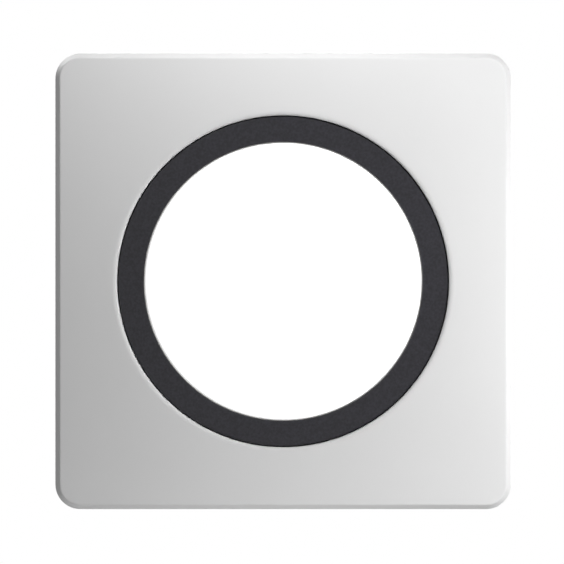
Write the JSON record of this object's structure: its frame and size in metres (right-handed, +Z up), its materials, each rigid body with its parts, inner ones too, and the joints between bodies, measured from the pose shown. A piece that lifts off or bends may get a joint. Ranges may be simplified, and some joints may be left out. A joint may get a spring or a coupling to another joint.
{
  "type": "wall thermostat",
  "caption": "Square wall thermostat: white plate with a turning charcoal ring around a backlit push face, clipped on a steel frame over a wall-box power unit.",
  "frame": {"origin": "centre of the square plate on the wall plane that the mounting frame stands on", "axes": "+X to the right and +Z up as the thermostat hangs, +Y into the wall, so its face looks towards -Y"},
  "size_m": [0.086, 0.041, 0.086],
  "materials": {
    "white_plastic": "fine satin moulded white",
    "inner_plastic": "moulded off-white",
    "charcoal_plastic": "fine matt charcoal",
    "opal_plastic": "satin opal diffuser, evenly backlit white",
    "clear_plastic": "clear moulded",
    "grey_plastic": "moulded grey",
    "black_plastic": "moulded black",
    "chip_black": "matt moulding compound",
    "relay_plastic": "glossy blue housing",
    "amber_plastic": "glossy amber housing",
    "terminal_plastic": "moulded green",
    "led_lens": "phosphor lens",
    "circuit_board": "green solder mask",
    "winding_tape": "yellow tape over copper winding",
    "bonded_magnet": "plastic-bonded magnet, matt",
    "can_aluminium": "satin can",
    "spring_steel": "bright spring steel",
    "zinc_steel": "zinc plated",
    "brass": "nickel-flashed brass"
  },
  "bodies": {
    "power_unit": {"mounting_frame": "zinc_steel", "power_box": "inner_plastic", "power_box_lid": "inner_plastic", "power_board": "circuit_board", "relay": "relay_plastic", "film_capacitor": "amber_plastic", "smoothing_capacitor": "can_aluminium", "fuse": "black_plastic", "transformer": "winding_tape", "board_socket": "black_plastic", "terminal_block": "terminal_plastic", "retaining_spring_1": "spring_steel", "retaining_spring_2": "spring_steel", "retaining_spring_3": "spring_steel", "retaining_spring_4": "spring_steel", "frame_screw_1": "zinc_steel", "frame_screw_2": "zinc_steel", "frame_screw_3": "zinc_steel", "frame_screw_4": "zinc_steel", "terminal_cage_1": "brass", "terminal_cage_2": "brass", "terminal_cage_3": "brass", "terminal_cage_4": "brass", "terminal_cage_5": "brass", "terminal_screw_1": "zinc_steel", "terminal_screw_2": "zinc_steel", "terminal_screw_3": "zinc_steel", "terminal_screw_4": "zinc_steel", "terminal_screw_5": "zinc_steel", "wall_screw_left": "zinc_steel", "wall_screw_right": "zinc_steel"},
    "front_unit": {"cover_plate": "white_plastic", "bearing_carrier": "inner_plastic", "click_spring": "spring_steel", "light_guide": "clear_plastic", "control_board": "circuit_board", "controller_chip": "chip_black", "switch_body": "black_plastic", "temperature_sensor": "chip_black", "board_plug": "black_plastic", "rear_shell": "inner_plastic", "backlight_led_1": "led_lens", "backlight_led_2": "led_lens", "backlight_led_3": "led_lens", "backlight_led_4": "led_lens", "housing_screw_1": "zinc_steel", "housing_screw_2": "zinc_steel", "housing_screw_3": "zinc_steel", "housing_screw_4": "zinc_steel", "ring_sensor_left": "chip_black", "ring_sensor_right": "chip_black"},
    "ring": {"setting_ring": "charcoal_plastic", "magnet_ring": "bonded_magnet"},
    "face_button": {"face_disc": "opal_plastic", "switch_plunger": "grey_plastic"}
  },
  "joints": [
    {"name": "front_release", "type": "slide", "parent": "power_unit", "child": "front_unit", "axis": [0, -1, 0], "range_m": [0, 0.02], "deforming": ["retaining_spring_1", "retaining_spring_2", "retaining_spring_3", "retaining_spring_4"]},
    {"name": "ring_turn", "type": "hinge", "parent": "front_unit", "child": "ring", "pos_m": [0, -0.0118, 0], "axis": [0, 1, 0], "continuous": true},
    {"name": "face_press", "type": "slide", "parent": "front_unit", "child": "face_button", "axis": [0, 1, 0], "range_m": [0, 0.0005], "stiffness_N_per_m": 1200, "springref_m": -0.001}
  ]
}
